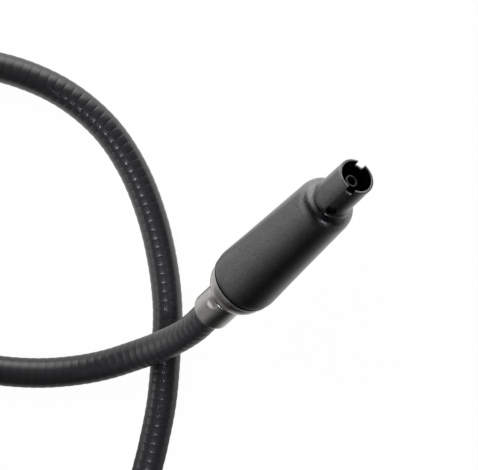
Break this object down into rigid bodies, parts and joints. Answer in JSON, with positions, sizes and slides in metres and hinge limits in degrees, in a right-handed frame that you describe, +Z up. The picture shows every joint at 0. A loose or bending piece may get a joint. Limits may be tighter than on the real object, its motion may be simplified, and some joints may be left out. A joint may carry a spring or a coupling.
{
  "type": "cable shutter release",
  "caption": "Mechanical cable release: slotted camera-end coupling on a ribbed flexible sheath, with a finger plate and sprung thumb button at the hand end.",
  "frame": {"origin": "on the table, under the middle of the box round the camera-end head and the hand piece", "axes": "+Z up from the table; +X along the hand piece towards its thumb button; the camera-end head points up between +X and +Y"},
  "size_m": [0.1572, 0.1293, 0.0618],
  "materials": {
    "satin_black": "fine-grained satin black lacquer on turned brass",
    "satin_nickel": "satin nickel plate on turned brass",
    "sheath_cover": "ribbed black cover, semi-matt",
    "steel": "bright steel",
    "dark_steel": "blackened steel",
    "brass": "plain turned brass"
  },
  "bodies": {
    "release_line": {"head_ferrule": "satin_nickel", "end_cap": "satin_nickel", "swivel_clip": "steel", "sheath": "sheath_cover", "conduit": "dark_steel", "inner_wire": "steel", "hand_ferrule": "satin_nickel", "hand_cap": "satin_nickel", "hand_barrel": "satin_black", "finger_plate": "satin_black", "guide_nut": "satin_black", "button_spring": "steel"},
    "coupling": {"coupling_body": "satin_black", "guide_bush": "dark_steel", "bush_grub_screw": "steel", "pin_spring": "steel"},
    "pin": {"release_pin": "dark_steel", "pin_wire_sleeve": "brass"},
    "plunger": {"plunger_rod": "steel", "plunger_collar": "brass", "thumb_button": "satin_black"},
    "lock": {"lock_screw": "steel"}
  },
  "joints": [
    {"name": "coupling_turn", "type": "hinge", "parent": "release_line", "child": "coupling", "pos_m": [-0.03222, 0.0332, 0.03143], "axis": [0.4866, 0.465, 0.7396], "continuous": true},
    {"name": "pin_extend", "type": "slide", "parent": "coupling", "child": "pin", "axis": [0.4866, 0.465, 0.7396], "range_m": [0, 0.007], "stiffness_N_per_m": 150, "springref_m": -0.005, "deforming": ["pin_spring"]},
    {"name": "button_press", "type": "slide", "parent": "release_line", "child": "plunger", "axis": [-1, 0, 0], "range_m": [0, 0.007], "stiffness_N_per_m": 300, "springref_m": -0.005, "deforming": ["button_spring"]},
    {"name": "lock_turn", "type": "hinge", "parent": "release_line", "child": "lock", "pos_m": [0.02178, -0.04025, 0.0124], "axis": [0, 0, 1], "range_deg": [0, 180]}
  ],
  "couplings": [
    {"joint": "pin_extend", "follows": "button_press", "ratio": 1}
  ]
}
